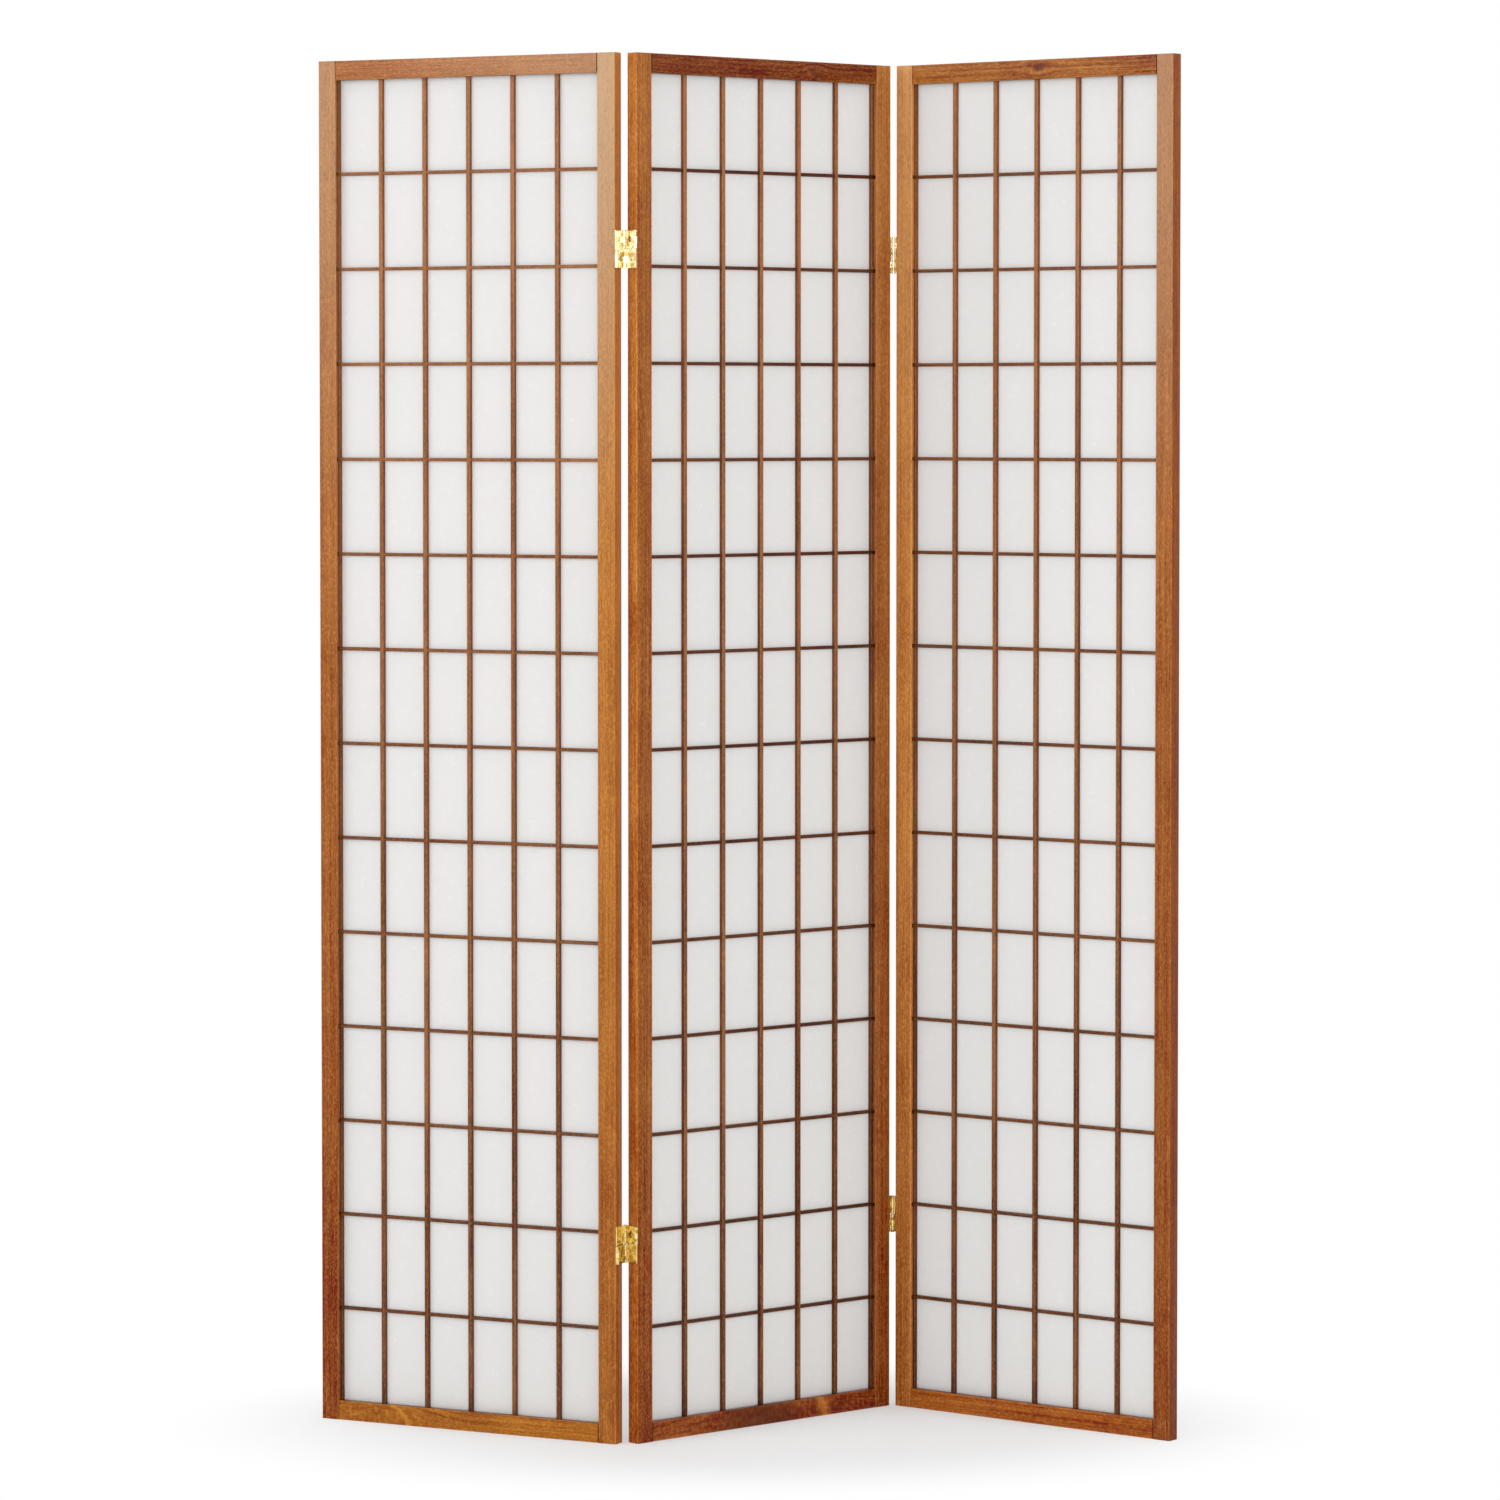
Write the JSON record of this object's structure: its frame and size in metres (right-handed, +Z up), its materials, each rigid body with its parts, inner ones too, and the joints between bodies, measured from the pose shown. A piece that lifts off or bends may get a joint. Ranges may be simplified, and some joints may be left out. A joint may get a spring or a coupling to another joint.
{
  "type": "shoji folding screen",
  "caption": "Free-standing folding screen of stained wood frames with lattice and white fibre paper, joined by brass two-way hinges and standing in a zigzag.",
  "frame": {"origin": "on the floor, under the centre of the outline that the standing zigzag covers", "axes": "+Z up; the front of the screen faces -Y; +X runs from the left panel to the right panel"},
  "size_m": [1.1192, 0.3158, 1.79],
  "materials": {
    "frame_wood": "satin",
    "lattice_wood": "satin",
    "fibre_paper": "matte",
    "hinge_brass": "polished",
    "pin_brass": "satin"
  },
  "bodies": {
    "middle_panel": {"middle_panel_left_stile": "frame_wood", "middle_panel_right_stile": "frame_wood", "middle_panel_top_rail": "frame_wood", "middle_panel_bottom_rail": "frame_wood", "middle_panel_left_bead": "frame_wood", "middle_panel_right_bead": "frame_wood", "middle_panel_lattice": "lattice_wood", "middle_panel_paper": "fibre_paper", "left_fold_top_hinge_middle_leaf": "hinge_brass", "left_fold_top_hinge_upper_web": "hinge_brass", "left_fold_top_hinge_upper_front_pin": "pin_brass", "left_fold_top_hinge_upper_back_pin": "pin_brass", "left_fold_bottom_hinge_middle_leaf": "hinge_brass", "left_fold_bottom_hinge_upper_web": "hinge_brass", "left_fold_bottom_hinge_upper_front_pin": "pin_brass", "left_fold_bottom_hinge_upper_back_pin": "pin_brass", "right_fold_top_hinge_middle_leaf": "hinge_brass", "right_fold_top_hinge_upper_web": "hinge_brass", "right_fold_top_hinge_upper_front_pin": "pin_brass", "right_fold_top_hinge_upper_back_pin": "pin_brass", "right_fold_bottom_hinge_middle_leaf": "hinge_brass", "right_fold_bottom_hinge_upper_web": "hinge_brass", "right_fold_bottom_hinge_upper_front_pin": "pin_brass", "right_fold_bottom_hinge_upper_back_pin": "pin_brass"},
    "left_panel": {"left_panel_left_stile": "frame_wood", "left_panel_right_stile": "frame_wood", "left_panel_top_rail": "frame_wood", "left_panel_bottom_rail": "frame_wood", "left_panel_left_bead": "frame_wood", "left_panel_right_bead": "frame_wood", "left_panel_lattice": "lattice_wood", "left_panel_paper": "fibre_paper", "left_fold_top_hinge_left_leaf": "hinge_brass", "left_fold_top_hinge_lower_web": "hinge_brass", "left_fold_top_hinge_lower_front_pin": "pin_brass", "left_fold_top_hinge_lower_back_pin": "pin_brass", "left_fold_bottom_hinge_left_leaf": "hinge_brass", "left_fold_bottom_hinge_lower_web": "hinge_brass", "left_fold_bottom_hinge_lower_front_pin": "pin_brass", "left_fold_bottom_hinge_lower_back_pin": "pin_brass"},
    "right_panel": {"right_panel_left_stile": "frame_wood", "right_panel_right_stile": "frame_wood", "right_panel_top_rail": "frame_wood", "right_panel_bottom_rail": "frame_wood", "right_panel_left_bead": "frame_wood", "right_panel_right_bead": "frame_wood", "right_panel_lattice": "lattice_wood", "right_panel_paper": "fibre_paper", "right_fold_top_hinge_right_leaf": "hinge_brass", "right_fold_top_hinge_lower_web": "hinge_brass", "right_fold_top_hinge_lower_front_pin": "pin_brass", "right_fold_top_hinge_lower_back_pin": "pin_brass", "right_fold_bottom_hinge_right_leaf": "hinge_brass", "right_fold_bottom_hinge_lower_web": "hinge_brass", "right_fold_bottom_hinge_lower_front_pin": "pin_brass", "right_fold_bottom_hinge_lower_back_pin": "pin_brass"}
  },
  "joints": [
    {"name": "left_fold", "type": "hinge", "parent": "middle_panel", "child": "left_panel", "pos_m": [-0.15479, -0.13561, 0], "axis": [0, 0, 1], "range_deg": [-113.1, 66.9]},
    {"name": "right_fold", "type": "hinge", "parent": "middle_panel", "child": "right_panel", "pos_m": [0.19692, 0.13789, 0], "axis": [0, 0, 1], "range_deg": [-101.9, 78.1]}
  ]
}
